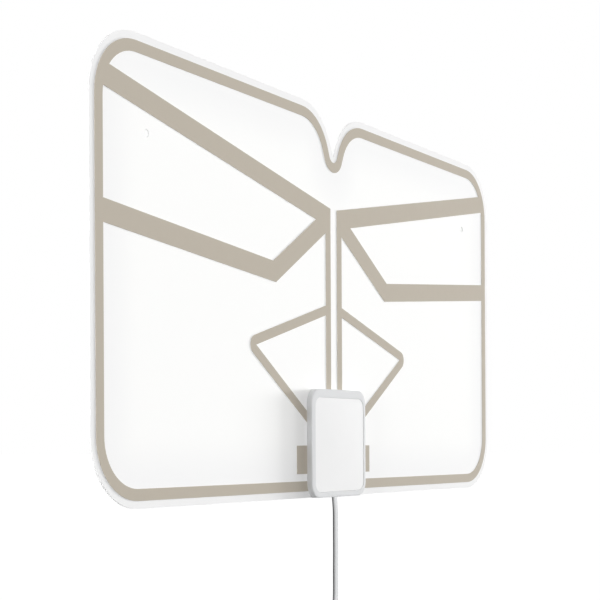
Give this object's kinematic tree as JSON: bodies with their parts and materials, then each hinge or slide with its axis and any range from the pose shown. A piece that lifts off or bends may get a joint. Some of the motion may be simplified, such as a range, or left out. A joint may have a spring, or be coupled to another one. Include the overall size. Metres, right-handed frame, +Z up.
{
  "type": "amplified tv antenna",
  "caption": "Flat indoor television antenna: a notched white film sheet with beige printed conductors, a small amplifier housing clamped on its lower edge and a thin coax lead with an aerial plug",
  "frame": {"origin": "midway between the two hanging holes, on the back face of the film", "axes": "+Z up, +X to the right seen from the front, and the front faces -Y; the film lies in the XZ plane"},
  "size_m": [0.37, 0.0162, 0.323],
  "materials": {
    "film": "satin white film",
    "printed_conductor": "matte beige printed foil",
    "shell_plastic": "fine-grained moulded plastic",
    "inlay_plastic": "smooth satin plastic",
    "plated_steel": "zinc-plated",
    "circuit_board": "solder mask on glass laminate",
    "spring_bronze": "bare spring strip",
    "tinned_steel": "tinned sheet",
    "chip_resin": "moulded resin",
    "ferrite": "sintered",
    "copper": "bare copper",
    "capacitor_ceramic": "fired ceramic",
    "inductor_ceramic": "fired ceramic",
    "cable_insulation": "solid white insulation",
    "cable_jacket": "smooth extruded jacket",
    "tie_plastic": "plain strap",
    "plug_plastic": "moulded grip",
    "plug_nickel": "nickel-plated"
  },
  "bodies": {
    "root": {"carrier_film": "film", "printed_element": "printed_conductor", "coupling_patches": "printed_conductor", "front_shell": "shell_plastic", "front_inlay": "inlay_plastic", "rear_shell": "shell_plastic", "housing_screws": "plated_steel", "amplifier_board": "circuit_board", "contact_spring_left": "spring_bronze", "contact_spring_right": "spring_bronze", "shield_can": "tinned_steel", "amplifier_chip": "chip_resin", "balun_core": "ferrite", "balun_windings": "copper", "chip_capacitors": "capacitor_ceramic", "chip_inductors": "inductor_ceramic", "braid_clamp": "spring_bronze", "cable_ferrule": "plated_steel", "cable_braid": "copper", "cable_dielectric": "cable_insulation", "cable_conductor": "copper", "coax_lead": "cable_jacket", "coax_tail": "cable_jacket", "coax_coil": "cable_jacket", "coil_tie": "tie_plastic", "plug_body": "plug_plastic", "plug_sleeve": "plug_nickel", "plug_insulator": "cable_insulation", "plug_pin": "plug_nickel"}
  },
  "joints": []
}
